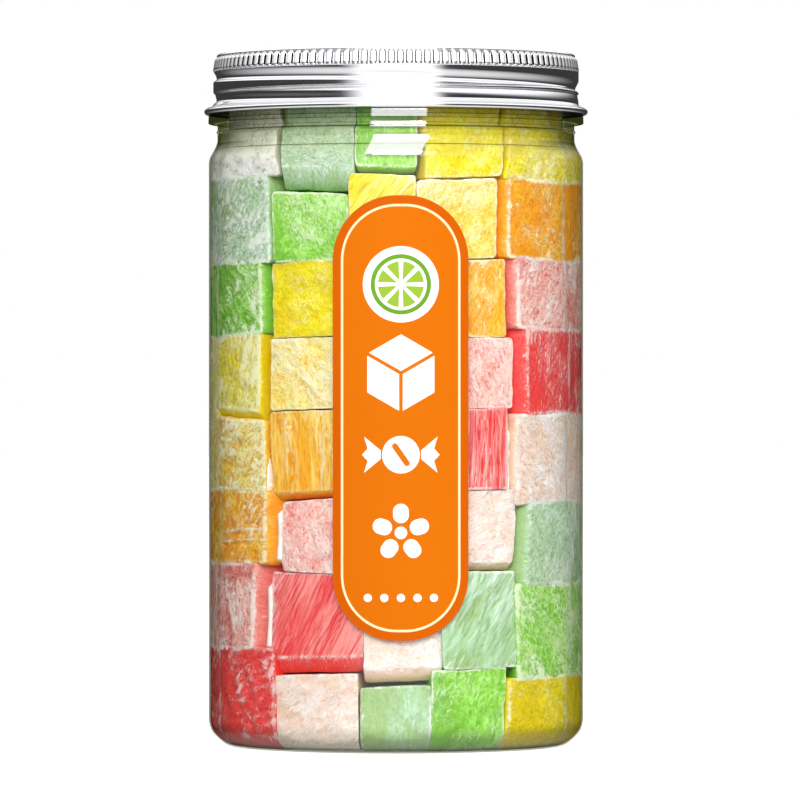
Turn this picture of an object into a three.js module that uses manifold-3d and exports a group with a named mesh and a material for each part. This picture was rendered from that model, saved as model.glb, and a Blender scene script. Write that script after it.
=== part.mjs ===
// A screw-top jar of amber sugar candy: a clear jar, a knurled aluminium cap, a pill-shaped
// label and the cut candy blocks inside, packed in tiers against the wall.
// Millimetres, +Z up. The origin is on the jar's axis, on the surface that the jar stands on.
// The label faces -Y. Angles are in degrees round the axis, from -Y towards +X.
import * as THREE from "three";
import { mergeVertices } from "three/addons/utils/BufferGeometryUtils.js";
import Module from "manifold-3d";

const wasm = await Module();
wasm.setup();

// Driving dimensions
const TOTAL_HEIGHT = 120;
const FACETS = 48; // flat facets round the jar and the cap
const GAP = 0.35; // clearance between pieces that meet

const jar = {
  radius: 32.5,
  wall: 0.8,
  baseCorner: 4.8, // radius of the rounded edge at the base
  standRadius: 21.5, // inner edge of the flat ring that the jar stands on
  pushUp: 2.2, // rise of the middle of the base
  shoulderStart: 100.9,
  neckStart: 104.9,
  neckRadius: 31,
  neckWall: 1,
  flangeBottom: 107.9,
  flangeTop: 109.1,
  flangeRadius: 32.6,
  mouthRadius: 29.9, // the screw mouth, hidden in the cap
  mouthWall: 1.1,
  mouthTop: 118.7,
};

const cap = {
  radius: 31.9,
  cavityRadius: 30.25,
  topThickness: 0.8,
  edgeRound: 0.9,
  knurlCount: 128,
  knurlBottom: 117,
  knurlTop: 119.4,
  knurlDepth: 0.35,
  rimRadius: 33.3,
  rimBottom: 109.5,
  rimTop: 110.8,
  grooveDepth: 0.95, // the rolled screw groove, which winds down round the skirt
  grooveHalfWidth: 0.95,
  grooveFront: 114.9, // its height at the front
  groovePitch: 3.2,
  ringHeight: 112.1, // the level groove above the rim
  ringHalfWidth: 0.8,
  ringDepth: 0.6,
};

const label = {
  radius: 32.75,
  thickness: 0.15,
  width: 23.4, // along the arc
  height: 75.3,
  bottom: 19.3,
  corner: 11,
  middleAngle: 1.5,
  columns: 20,
};

const candy = {
  radius: 31.2,
  neckRadius: 28.4, // the top tier narrows to this inside the mouth
  blocksRound: 14,
  seam: 1.3, // depth of the seams between blocks
  seamHalfWidth: 0.7,
  unevenness: 0.3,
  // Levels between the tiers, and the edges of the five front blocks
  tierLevels: [1.2, 16, 31.2, 44.1, 58.3, 70.8, 83.4, 97.6, 115.6],
  frontEdges: [-72, -43, -13.5, 10.5, 37, 66],
};

const radians = THREE.MathUtils.degToRad;
const ease = (t) => (1 - Math.cos(Math.PI * THREE.MathUtils.clamp(t, 0, 1))) / 2;
// A smooth groove or bead: 1 in its middle, 0 at halfWidth
const hump = (distance, halfWidth) => 1 - ease(Math.abs(distance) / halfWidth);

// Points of an arc in the radius-height plane, from angle a to b, in degrees
function arc(radius, height, size, a, b, steps) {
  return Array.from({ length: steps + 1 }, (_, i) => {
    const angle = radians(a + ((b - a) * i) / steps);
    return [radius + size * Math.cos(angle), height + size * Math.sin(angle)];
  });
}

// The jar's shoulder, an S-curve from one radius in to a smaller one
function shoulder(fromRadius, fromHeight, toRadius, toHeight, steps) {
  return Array.from({ length: steps + 1 }, (_, i) => [
    THREE.MathUtils.lerp(fromRadius, toRadius, ease(i / steps)),
    THREE.MathUtils.lerp(fromHeight, toHeight, i / steps),
  ]);
}

// A body of revolution about Z from [radius, height] points that run upwards on the outside
function turned(points, segments = FACETS) {
  const outline = points.map(([radius, height]) => new THREE.Vector2(radius, height));
  return new THREE.LatheGeometry(outline, segments).rotateX(Math.PI / 2);
}

function positionsOnly(geometry) {
  const bare = geometry.clone();
  bare.deleteAttribute("normal");
  bare.deleteAttribute("uv");
  return mergeVertices(bare, 1e-4);
}

function toManifold(geometry) {
  const merged = positionsOnly(geometry);
  return new wasm.Manifold(
    new wasm.Mesh({
      numProp: 3,
      vertProperties: new Float32Array(merged.attributes.position.array),
      triVerts: new Uint32Array(merged.index.array),
    }),
  );
}

function fromManifold(manifold) {
  const mesh = manifold.getMesh();
  const geometry = new THREE.BufferGeometry();
  geometry.setAttribute("position", new THREE.BufferAttribute(mesh.vertProperties, 3));
  geometry.setIndex(new THREE.BufferAttribute(mesh.triVerts, 1));
  return geometry;
}

// Moves every vertex of a geometry by a function of its place
function moveVertices(geometry, move) {
  const position = geometry.attributes.position;
  const point = new THREE.Vector3();
  for (let i = 0; i < position.count; i += 1) {
    point.fromBufferAttribute(position, i);
    move(point);
    position.setXYZ(i, point.x, point.y, point.z);
  }
  return geometry;
}

// Angle of a place round the axis, from -Y towards +X, in degrees
const angleOf = (point) => THREE.MathUtils.radToDeg(Math.atan2(point.x, -point.y));

function setPolar(point, radius, angle) {
  point.x = radius * Math.sin(radians(angle));
  point.y = -radius * Math.cos(radians(angle));
}

// The pushed-up middle of the base, raised by a height, from the axis out
function dome(rise) {
  return [0, 0.5, 1].map((share) => [
    jar.standRadius * share,
    rise + jar.pushUp * (1 - ease(share)),
  ]);
}

// The clear jar: base with a pushed-up middle, straight body, shoulder, neck, flange and mouth
function jarGeometry() {
  const inner = jar.radius - jar.wall;
  const neckInner = jar.neckRadius - jar.neckWall;
  const mouthInner = jar.mouthRadius - jar.mouthWall;
  const innerCorner = jar.baseCorner - jar.wall;
  const flangeRound = (jar.flangeTop - jar.flangeBottom) / 2;
  const flangeMiddle = (jar.flangeTop + jar.flangeBottom) / 2;
  const outside = [
    ...dome(0),
    ...arc(jar.radius - jar.baseCorner, jar.baseCorner, jar.baseCorner, -90, 0, 4),
    ...shoulder(jar.radius, jar.shoulderStart, jar.neckRadius, jar.neckStart, 4),
    [jar.neckRadius, jar.flangeBottom],
    ...arc(jar.flangeRadius - flangeRound, flangeMiddle, flangeRound, -90, 90, 3),
    [jar.mouthRadius, jar.flangeTop],
    [jar.mouthRadius, jar.mouthTop],
  ];
  const inside = [
    [mouthInner, jar.mouthTop],
    [mouthInner, jar.flangeBottom],
    [neckInner, jar.flangeBottom - 1],
    ...shoulder(neckInner, jar.neckStart, inner, jar.shoulderStart, 3),
    ...arc(inner - innerCorner, jar.baseCorner, innerCorner, 0, -90, 3),
    ...dome(jar.wall).reverse(),
  ];
  return turned([...outside, ...inside]);
}

// How far the skirt of the cap is pressed in at a place, by the screw groove and the level groove
function pressedIn(angle, height) {
  let depth = 0;
  for (const turn of [0, 1]) {
    const along = angle + 360 * turn;
    const middle = cap.grooveFront - (cap.groovePitch * along) / 360;
    const fade = ease((along + 200) / 70) * ease((440 - along) / 200);
    depth += cap.grooveDepth * fade * hump(height - middle, cap.grooveHalfWidth);
  }
  const ring = cap.ringDepth * hump(height - cap.ringHeight, cap.ringHalfWidth);
  return Math.min(depth + ring * (1 - depth / cap.grooveDepth), cap.grooveDepth);
}

// The outside of the cap as a filled body: rolled rim, skirt with its grooves, band and top
function capBody() {
  const rimRound = (cap.rimTop - cap.rimBottom) / 2;
  const rimMiddle = (cap.rimTop + cap.rimBottom) / 2;
  const skirtRows = 13;
  const skirt = Array.from({ length: skirtRows + 1 }, (_, i) => [
    cap.radius,
    THREE.MathUtils.lerp(cap.rimTop + 0.2, cap.knurlBottom - 0.2, i / skirtRows),
  ]);
  const outline = [
    [0, cap.rimBottom],
    ...arc(cap.rimRadius - rimRound, rimMiddle, rimRound, -90, 90, 4),
    ...skirt,
    [cap.radius - cap.knurlDepth, cap.knurlBottom],
    ...arc(
      cap.radius - cap.edgeRound - cap.knurlDepth, TOTAL_HEIGHT - cap.edgeRound, cap.edgeRound, 0, 90, 3,
    ),
    [0, TOTAL_HEIGHT],
  ];
  return moveVertices(turned(outline), (point) => {
    const onSkirt = Math.abs(Math.hypot(point.x, point.y) - cap.radius) < 1e-3;
    if (onSkirt) {
      const angle = angleOf(point);
      setPolar(point, cap.radius - pressedIn(angle, point.z), angle);
    }
  });
}

// The knurled band round the top of the cap
function knurls() {
  const outline = new THREE.Shape(
    Array.from({ length: cap.knurlCount * 2 }, (_, i) => {
      const radius = cap.radius - (i % 2) * cap.knurlDepth;
      const angle = (Math.PI * i) / cap.knurlCount;
      return new THREE.Vector2(radius * Math.cos(angle), radius * Math.sin(angle));
    }),
  );
  const depth = cap.knurlTop - cap.knurlBottom;
  return new THREE.ExtrudeGeometry(outline, { depth, bevelEnabled: false }).translate(
    0, 0, cap.knurlBottom,
  );
}

function capGeometry() {
  const cavityTop = TOTAL_HEIGHT - cap.topThickness;
  const cavity = turned([
    [0, cap.rimBottom - 1],
    [cap.cavityRadius, cap.rimBottom - 1],
    [cap.cavityRadius, cavityTop],
    [0, cavityTop],
  ]);
  return fromManifold(
    toManifold(capBody()).add(toManifold(knurls())).subtract(toManifold(cavity)),
  );
}

// The label: a flat plate cut to a pill outline, then wrapped round the jar
function labelGeometry() {
  const { width, height, thickness, corner, columns } = label;
  const plate = new THREE.BoxGeometry(width, height, thickness, columns, 1, 1);
  const middle = label.bottom + height / 2;
  return moveVertices(plate, (point) => {
    const across = (width / 2) * Math.sin((Math.PI * point.x) / width);
    const past = Math.max(Math.abs(across) - (width / 2 - corner), 0);
    const reach = height / 2 - corner + Math.sqrt(Math.max(corner ** 2 - past ** 2, 0));
    const radius = label.radius + thickness / 2 + point.z;
    const angle = label.middleAngle + THREE.MathUtils.radToDeg(across / label.radius);
    point.z = middle + Math.sign(point.y) * reach;
    setPolar(point, radius, angle);
  });
}

// A repeatable uneven value between -1 and 1 for a block of a tier
const uneven = (block, tier) => Math.sin(block * 12.9 + tier * 78.2 + 0.7);

// Edges of a tier's blocks: five at the front as seen, the rest shared out round the back
function tierEdges(tier) {
  const front = candy.frontEdges.map((edge) => edge + 1.2 * uneven(edge, tier));
  const first = front[0];
  const last = front[front.length - 1];
  const behind = candy.blocksRound - (front.length - 1);
  const shared = Array.from(
    { length: behind - 1 },
    (_, i) => last + ((360 + first - last) * (i + 1 + 0.12 * uneven(i, tier + 3))) / behind,
  );
  return [...front, ...shared];
}

// How wide the heap is at a height: the rounded base, the body, then in through the shoulder to the mouth
function heapRadius(height) {
  if (height < jar.baseCorner) {
    const corner = jar.baseCorner - jar.wall;
    const below = jar.baseCorner - height;
    return jar.radius - jar.baseCorner + Math.sqrt(corner ** 2 - below ** 2) - GAP;
  }
  const narrowing = ease((height - jar.shoulderStart) / (jar.flangeBottom - jar.shoulderStart));
  return THREE.MathUtils.lerp(candy.radius, candy.neckRadius, narrowing);
}

// The levels of the heap's rows of points: each tier has a seam below it and flat faces above
function heapRows() {
  const tiers = candy.tierLevels.length - 1;
  const bends = { 0: [jar.baseCorner], [tiers - 1]: [jar.shoulderStart, jar.flangeBottom] };
  const rows = candy.tierLevels.slice(0, tiers).flatMap((low, tier) => [
    { tier, height: low, seam: tier > 0 },
    ...[
      low + candy.seamHalfWidth,
      ...(bends[tier] ?? []),
      candy.tierLevels[tier + 1] - candy.seamHalfWidth,
    ].map((height) => ({ tier, height, seam: false })),
  ]);
  return [...rows, { tier: tiers - 1, height: candy.tierLevels[tiers], seam: false }];
}

// The candy heap as one solid: tiers of flat-faced blocks with seams between them
function candyGeometry() {
  const pointsPerBlock = 3; // the seam beside a block and the two edges of its face
  const columns = candy.blocksRound * pointsPerBlock;
  const rows = heapRows();
  const heights = rows.map((row) => row.height);
  const edges = candy.tierLevels.map((_, tier) => tierEdges(tier));
  const inset = THREE.MathUtils.radToDeg(candy.seamHalfWidth / candy.radius);
  const outline = [
    ...dome(jar.wall + GAP + 0.05),
    ...heights.map((height) => [candy.radius, height]),
    [0, heights[heights.length - 1]],
  ];
  return moveVertices(turned(outline, columns), (point) => {
    if (Math.abs(Math.hypot(point.x, point.y) - candy.radius) > 1e-3) {
      return;
    }
    const row = rows[heights.findIndex((height) => Math.abs(height - point.z) < 1e-3)];
    const column = (Math.round((angleOf(point) / 360) * columns) + columns) % columns;
    const block = Math.floor(column / pointsPerBlock);
    const place = column % pointsPerBlock;
    const start = edges[row.tier][block];
    const end = edges[row.tier][block + 1] ?? edges[row.tier][0] + 360;
    const angle = [start, start + inset, end - inset][place];
    const sunk = row.seam || place === 0;
    const depth = sunk ? candy.seam : candy.unevenness * (1 - uneven(block, row.tier)) / 2;
    setPolar(point, heapRadius(row.height) - depth, angle);
  });
}

const materials = {
  jar: new THREE.MeshStandardMaterial({
    color: 0xe9efe6, roughness: 0.05, metalness: 0, transparent: true, opacity: 0.25,
  }),
  cap: new THREE.MeshStandardMaterial({ color: 0xc9cacc, roughness: 0.25, metalness: 1 }),
  label: new THREE.MeshStandardMaterial({ color: 0xf4780a, roughness: 0.35, metalness: 0 }),
  candies: new THREE.MeshStandardMaterial({ color: 0xf3cf6e, roughness: 0.5, metalness: 0 }),
};

function piece(name, geometry, material) {
  const mesh = new THREE.Mesh(geometry, material);
  mesh.name = name;
  return mesh;
}

const pack = new THREE.Group();
pack.add(piece("jar", jarGeometry(), materials.jar));
pack.add(piece("cap", capGeometry(), materials.cap));
pack.add(piece("label", labelGeometry(), materials.label));
pack.add(piece("candies", candyGeometry(), materials.candies));

export default pack;
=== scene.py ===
"""A clear screw-top jar of amber sugar candy: the jar, its cap and label, and the candy blocks.

Shapes are worked out in millimetres and turned into metres when a mesh is made. The jar stands
on the floor with its axis on Z. Angles go round the axis from -Y, the front, towards +X.
"""
import functools
import itertools
import math

import bmesh
import bpy
import numpy as np
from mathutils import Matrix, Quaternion, Vector


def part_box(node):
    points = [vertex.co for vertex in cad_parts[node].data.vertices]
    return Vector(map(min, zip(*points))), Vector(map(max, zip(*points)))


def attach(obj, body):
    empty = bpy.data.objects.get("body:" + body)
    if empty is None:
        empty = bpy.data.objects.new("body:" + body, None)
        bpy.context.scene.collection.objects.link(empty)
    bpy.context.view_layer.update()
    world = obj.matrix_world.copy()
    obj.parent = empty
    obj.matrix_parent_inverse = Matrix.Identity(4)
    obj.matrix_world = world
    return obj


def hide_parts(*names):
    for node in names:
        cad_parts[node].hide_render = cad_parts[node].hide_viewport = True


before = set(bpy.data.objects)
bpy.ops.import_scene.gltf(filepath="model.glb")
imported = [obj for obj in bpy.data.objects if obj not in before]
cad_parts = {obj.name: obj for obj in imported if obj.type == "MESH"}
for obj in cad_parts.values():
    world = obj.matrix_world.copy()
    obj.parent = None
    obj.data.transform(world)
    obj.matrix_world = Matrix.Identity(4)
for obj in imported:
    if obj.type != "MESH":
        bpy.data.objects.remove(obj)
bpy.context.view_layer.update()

MM = 0.001
RANDOM = np.random.default_rng(20)


# ---- sizes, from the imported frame
def box_mm(node):
    low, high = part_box(node)
    return np.array(low) / MM, np.array(high) / MM


JAR_HIGH = box_mm("jar")[1]
CAP_LOW, CAP_HIGH = box_mm("cap")
LABEL_LOW, LABEL_HIGH = box_mm("label")
HEAP_HIGH = box_mm("candies")[1]

JAR_RADIUS = 32.5
WALL = 0.22
BASE_CORNER = 4.8
STAND_RADIUS = 21.5
PUSH_UP = 2.2
SHOULDER_LOW, SHOULDER_HIGH = 101.0, 105.2
BEAD_HEIGHT = 106.45
NECK_RADIUS = 31.0
FLANGE_LOW, FLANGE_HIGH = 107.9, 109.4
FLANGE_RADIUS = 32.6
NECK_ROUND, NECK_STRAIGHT = 0.2, 0.27
MOUTH_RADIUS, MOUTH_WALL = 29.9, 0.9
MOUTH_STEP = 106.75
MOUTH_LEAD, MOUTH_TAPER = 0.6, 0.5
MOUTH_TOP = JAR_HIGH[2]

CAP_TOP = CAP_HIGH[2]
CAP_RADIUS = 31.75
CAP_WALL, CAP_ROUND = 0.4, 0.5
RIM_RADIUS = CAP_HIGH[0]
RIM_LOW, RIM_HIGH, RIM_ROUND = CAP_LOW[2], 110.4, 0.3
SKIRT_LOW = 111.2
KNURLS = 128
KNURL_LOW, KNURL_HIGH = 116.75, 119.5
KNURL_DEPTH = 0.5
KNURL_LEAN = 0.45
# The screw groove pressed into the skirt: its depth, its half width above and below its middle, its
# height at the front and how far it falls in one turn. The crease is narrow and rises instead.
GROOVE_DEPTH, GROOVE_HALVES = 0.6, (1.7, 0.65)
GROOVE_FRONT, GROOVE_PITCH = 114.75, 3.8
CREASE_DEPTH, CREASE_HALF = 0.22, 0.17
CREASE_FRONT, CREASE_PITCH = 113.45, -1.4
# Where the groove starts and stops, in degrees along it, and how long it takes to deepen and to
# fade; how far round from the front the crease reaches, and how long it takes to fade
GROOVE_START, GROOVE_LEAD_IN, GROOVE_STOP, GROOVE_LEAD_OUT = -200, 70, 440, 200
CREASE_REACH, CREASE_FADE = 150, 30
# Between these heights the skirt leans in towards its top, and then it steps out again
SHELF_LOW, SHELF_HIGH, SHELF_DEPTH, SHELF_STEP = 111.0, 112.85, 0.26, 0.3

# Between the contents and the jar's wall
CLEARANCE = 0.04
HEAP_RADIUS = JAR_RADIUS - WALL - 0.05
BLOCKS_ROUND = 13
TIER_LEVELS = (0.5, 14.4, 30.8, 44.3, 58.0, 70.8, 83.8, 97.5, HEAP_HIGH[2])
TIERS = len(TIER_LEVELS) - 1
CORE_RADIUS = 19.0
BLOCK_INNER = 20.5
# How many blocks of a tier are in front
FRONT_BLOCKS = 5


def ease(t):
    return (1 - np.cos(np.pi * np.clip(t, 0, 1))) / 2


def hump(distance, half_width):
    """A smooth bead: 1 in its middle, 0 at half_width."""
    return 1 - ease(np.abs(distance) / half_width)


def mix(a, b, t):
    return a + (b - a) * t


def polar(radius, degrees, height):
    """Points at an angle round the axis, from -Y towards +X."""
    angle = np.radians(degrees)
    x, y = radius * np.sin(angle), -radius * np.cos(angle)
    return np.stack(np.broadcast_arrays(x, y, height), -1)


# ---- meshes
def make_object(name, points_mm, faces, material, smooth=True):
    mesh = bpy.data.meshes.new(name)
    mesh.from_pydata((np.asarray(points_mm) * MM).tolist(), [], faces)
    mesh.validate()
    mesh.polygons.foreach_set("use_smooth", [smooth] * len(mesh.polygons))
    mesh.materials.append(material)
    piece = bpy.data.objects.new(name, mesh)
    bpy.context.scene.collection.objects.link(piece)
    return piece


def reshape(piece, weld=None):
    """Turns a piece's faces outwards, after its points that are weld apart are made one."""
    shape = bmesh.new()
    shape.from_mesh(piece.data)
    if weld:
        bmesh.ops.remove_doubles(shape, verts=shape.verts, dist=weld)
    bmesh.ops.recalc_face_normals(shape, faces=shape.faces)
    shape.to_mesh(piece.data)
    shape.free()


def set_attribute(piece, name, values):
    """Keeps a value or a vector for each of a piece's points."""
    many = values.ndim > 1
    kind = "FLOAT_VECTOR" if many else "FLOAT"
    data = piece.data.attributes.new(name, kind, "POINT").data
    data.foreach_set("vector" if many else "value", values.astype(np.float32).ravel())


def grid_faces(rows, columns):
    """Quads of a grid of points that closes on itself along its columns."""
    here = np.arange(rows * columns).reshape(rows, columns)
    right = np.roll(here, -1, axis=1)
    quads = np.stack([here[:-1], right[:-1], right[1:], here[1:]], -1)
    return quads.reshape(-1, 4).tolist()


def turned(name, outline, material, columns, shape=None):
    """A closed body of revolution from (radius, height) points that start and end on the axis."""
    radii, heights = np.array(outline[1:-1], float).T[:, :, None]
    degrees = np.arange(columns)[None, :] * 360 / columns
    if shape:
        radii = shape(radii, heights, degrees)
    points = polar(radii, degrees, heights).reshape(-1, 3)
    faces = grid_faces(len(heights), columns)
    last = len(points) - columns
    for i in range(columns):
        j = (i + 1) % columns
        faces += [(j, i, len(points)), (last + i, last + j, len(points) + 1)]
    ends = [(0, 0, outline[0][1]), (0, 0, outline[-1][1])]
    piece = make_object(name, np.vstack([points, ends]), faces, material)
    reshape(piece)
    return piece


def arc(radius, height, size, start, stop, steps):
    angles = np.radians(np.linspace(start, stop, steps + 1))
    return [(radius + size * math.cos(a), height + size * math.sin(a)) for a in angles]


# ---- noise over points, in mm
HASH_FACTORS = (374761393, 668265263, 974634777)
HASH_TWIST = 1274126177


def lattice(cell):
    """A fixed value between 0 and 1 for each whole-numbered place."""
    mixed = sum(cell[:, axis] * factor for axis, factor in enumerate(HASH_FACTORS)) & 0xFFFFFFFF
    mixed = ((mixed ^ (mixed >> 13)) * HASH_TWIST) & 0xFFFFFFFF
    return ((mixed ^ (mixed >> 16)) & 0xFFFF) / 0xFFFF


def noise(points):
    """Smooth noise between -1 and 1, with features about one unit wide."""
    cell = np.floor(points).astype(np.int64)
    part = points - cell
    part = part * part * (3 - 2 * part)
    total = np.zeros(len(points))
    for corner in itertools.product((0, 1), repeat=3):
        weight = np.prod(np.where(corner, part, 1 - part), axis=1)
        total += weight * lattice(cell + np.array(corner))
    return total * 2 - 1


SWAY, SWAY_SIZE = 1.3, 5.5


def folds(points, widths):
    """A crumpled skin's height, 0 to 1: flat facets that meet in sharp folds.
    points are on the face, in mm; widths are the distances between folds, largest first."""
    sway = np.stack([noise(points / SWAY_SIZE + 9.1 * k) for k in (1, 2)], -1)
    flat = points[:, 1:] + SWAY * sway
    height, total = 0, 0
    for width in widths:
        for _ in range(2):
            angle = RANDOM.uniform(0, math.pi)
            across = flat @ np.array([math.cos(angle), math.sin(angle)])
            along = across / width + RANDOM.uniform(0, 9)
            height = height + width * 2 * np.abs(along - np.round(along))
            total += width
    return height / total


# ---- materials
def colour(red, green, blue):
    """A colour from its 0 to 255 display values."""
    parts = [c / 255 for c in (red, green, blue)]
    return (*[c / 12.92 if c <= 0.04045 else ((c + 0.055) / 1.055) ** 2.4 for c in parts], 1.0)


class Nodes:
    """The node tree of a material or a world, with short calls for the nodes used here."""

    def __init__(self, owner, output="OutputMaterial"):
        self.owner = owner
        owner.use_nodes = True
        self.tree = owner.node_tree
        self.tree.nodes.clear()
        self.out = self.add(output)

    def add(self, kind, settings=None, **inputs):
        """Adds a node. Its inputs go by their labels or, as i3 does, by their numbers."""
        node = self.tree.nodes.new("ShaderNode" + kind)
        for key, value in (settings or {}).items():
            setattr(node, key, value)
        for key, value in inputs.items():
            self.put(node, key, value)
        return node

    def put(self, node, key, value):
        numbered = key[0] == "i" and key[1:].isdigit()
        socket = node.inputs[int(key[1:]) if numbered else key.replace("_", " ")]
        if isinstance(value, bpy.types.NodeSocket):
            self.tree.links.new(value, socket)
        elif isinstance(value, bpy.types.Node):
            self.tree.links.new(value.outputs[0], socket)
        else:
            socket.default_value = value

    def math(self, operation, a, b=0.0, clamp=False):
        return self.add("Math", {"operation": operation, "use_clamp": clamp}, i0=a, i1=b)

    def size(self, value):
        return self.math("ABSOLUTE", value)

    def plus(self, a, b):
        return self.math("ADD", a, b)

    def minus(self, a, b):
        return self.math("SUBTRACT", a, b)

    def times(self, *values):
        return functools.reduce(functools.partial(self.math, "MULTIPLY"), values)

    def most(self, *values):
        return functools.reduce(functools.partial(self.math, "MAXIMUM"), values)

    def between(self, value, low, high, to_low=0.0, to_high=1.0):
        """Runs smoothly from to_low to to_high while the value runs from low to high."""
        return self.add(
            "MapRange", {"interpolation_type": "SMOOTHSTEP"},
            i0=value, i1=low, i2=high, i3=to_low, i4=to_high)

    def mix_colour(self, factor, a, b):
        return self.add("Mix", {"data_type": "RGBA"}, i0=factor, i6=a, i7=b).outputs[2]

    def noise(self, vector, scale, detail=3.0, roughness=0.55):
        return self.add(
            "TexNoise", Vector=vector, Scale=scale, Detail=detail, Roughness=roughness)

    def vector(self, operation, a, b):
        return self.add("VectorMath", {"operation": operation}, i0=a, i1=b)

    def split(self, vector):
        return self.add("SeparateXYZ", Vector=vector).outputs

    def bump(self, height, strength, distance):
        return self.add("Bump", Strength=strength, Distance=distance, Height=height)

    def place(self):
        return self.add("TexCoord").outputs["Object"]

    def attribute(self, name, output="Fac"):
        return self.add("Attribute", {"attribute_name": name}).outputs[output]

    def finish(self, kind, settings=None, **inputs):
        shader = self.add(kind, settings, **inputs)
        self.tree.links.new(shader.outputs[0], self.out.inputs["Surface"])
        return self.owner


# The noises in a candy's skin: scale for each mm of its grain, detail and roughness
BROAD = (0.45, 2.5, 0.5)
CRINKLE = (1.8, 2.5, 0.6)
FINE = (1.1, 3.5, 0.6)
FROST = (3.6, 3.0, 0.65)
STROKE, STROKE_STRETCH = (1.5, 2.0, 0.5), (1.0, 1.4, 0.4)
WANDER, WANDER_REACH = (0.5, 2.0), 2.0
DUST = (1.0, 0.99, 0.96, 1.0)


def sugar(n, bent, broad, fine, crust):
    """How white a candy's skin is: frosting, flakes, veins and strokes of sugar, all of them
    stronger where the crust is thicker."""
    more = n.minus(crust, 0.5)
    frosting = n.between(n.plus(n.noise(bent, *FROST), n.times(more, 0.7)), 0.4, 0.8, 0.0, 0.42)
    flakes = n.between(n.plus(fine, n.times(more, 0.7)), 0.64, 0.69)
    broad_vein = n.between(n.size(n.minus(broad, 0.5)), 0.0, 0.02, 1.0, 0.0)
    fine_vein = n.between(n.size(n.minus(fine, 0.5)), 0.0, 0.03, 0.6, 0.0)
    veins = n.times(n.most(broad_vein, fine_vein), n.between(crust, 0.1, 0.55, 0.1, 1.0))
    stretched = n.add("Mapping", Vector=bent, Scale=STROKE_STRETCH)
    stroke = n.plus(n.noise(stretched, *STROKE), n.times(more, 0.3))
    strokes = n.between(stroke, 0.59, 0.64, 0.0, 0.85)
    return n.math("MAXIMUM", n.most(frosting, flakes), n.most(veins, strokes), clamp=True)


def jelly(n, broad, crinkle, fine, colours):
    """A candy's colour under the sugar: paler under a thicker skin, with painted shade darkening
    its hollows.
    """
    side, body, pale = colours
    haze, hollow_shade = n.attribute("haze"), n.attribute("hollow_shade")
    cloud = n.plus(n.times(n.minus(broad, 0.5), 2.2), n.times(n.minus(crinkle, 0.5), 3.2))
    ramp = n.add("ValToRGB", Fac=n.math("ADD", haze, n.times(cloud, haze), clamp=True))
    ramp.color_ramp.elements[0].color = side
    ramp.color_ramp.elements[1].color = pale
    ramp.color_ramp.elements.new(0.4).color = body
    # Painted shade: the lows of the crinkle and fine noises darken towards a deep shade of the cut
    # side's colour, as if the skin's hollows lay in shadow
    crinkled = n.times(n.between(crinkle, 0.3, 0.52, 0.75, 0.0), hollow_shade)
    painted_hollow_shade = n.most(crinkled, n.times(n.between(fine, 0.32, 0.44, 0.6, 0.0), hollow_shade))
    return n.mix_colour(painted_hollow_shade, ramp.outputs[0], (*[0.45 * part for part in side[:3]], 1.0))


def candy_material(name, colours):
    """Jelly under a thin dry sugar skin. The display colours are those of the bare jelly of a cut
    side, of the jelly seen through a thin skin, and of the same under a thicker one."""
    colours = [colour(*parts) for parts in colours]
    n = Nodes(bpy.data.materials.new(name))
    grain = n.attribute("grain", "Vector")
    wander = n.vector("SUBTRACT", n.noise(grain, *WANDER).outputs["Color"], (0.5, 0.5, 0.5))
    warp = n.add("VectorMath", {"operation": "SCALE"}, i0=wander, Scale=WANDER_REACH)
    bent = n.vector("ADD", grain, warp)
    broad, crinkle, fine = [n.noise(bent, *kind) for kind in (BROAD, CRINKLE, FINE)]
    white = sugar(n, bent, broad, fine, n.attribute("crust"))
    dusted = tuple(mix(part, dust, 0.45) for part, dust in zip(colours[2], DUST))
    skin = n.mix_colour(n.times(white, 0.9), jelly(n, broad, crinkle, fine, colours), dusted)
    height = n.plus(n.times(white, 0.6), n.times(broad, 1.2))
    height = n.plus(height, n.plus(n.times(fine, 0.8), crinkle))
    return n.finish(
        "BsdfPrincipled", {"subsurface_method": "RANDOM_WALK"}, Base_Color=skin,
        Roughness=n.between(white, 0.0, 1.0, 0.28, 0.55), Normal=n.bump(height, 0.7, 0.0002),
        Subsurface_Weight=0.3, Subsurface_Radius=(1.0, 0.7, 0.45), Subsurface_Scale=0.002,
        Specular_IOR_Level=0.4)


# Painted shade along the neck's moulded rings: height and half width in mm, and strength
RING_SHADE_LINES = ((108.6, 0.07, 0.8), (107.1, 0.06, 0.7), (106.5, 0.13, 0.95), (103.45, 0.06, 0.6))
# Painted reflection: patches at the front of the neck that mirror far more than the wall, for the
# softbox's reflection: the heights of their bottom and top, in mm, and how far right their middle
# is at each
REFLECTION_PATCHES = ((101.6, 105.0, -0.6, 1.1), (106.2, 107.3, 0.3, 0.4), (108.0, 109.3, 0.5, 0.6))
REFLECTION_PATCH_HALF, REFLECTION_PATCH_SHARE = 4.7, 0.5
BODY_TINT, NECK_TINT = (0.997, 0.998, 0.995, 1), (0.93, 0.935, 0.89, 1)
# Painted shade that what shows through darkens towards: slanting or edge-on wall, foot, rings,
# flange
SLANT_SHADE, EDGE_SHADE = (0.7, 0.71, 0.67, 1), (0.27, 0.29, 0.15, 1)
FLANGE_SHADE = (0.17, 0.185, 0.075, 1)


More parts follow.
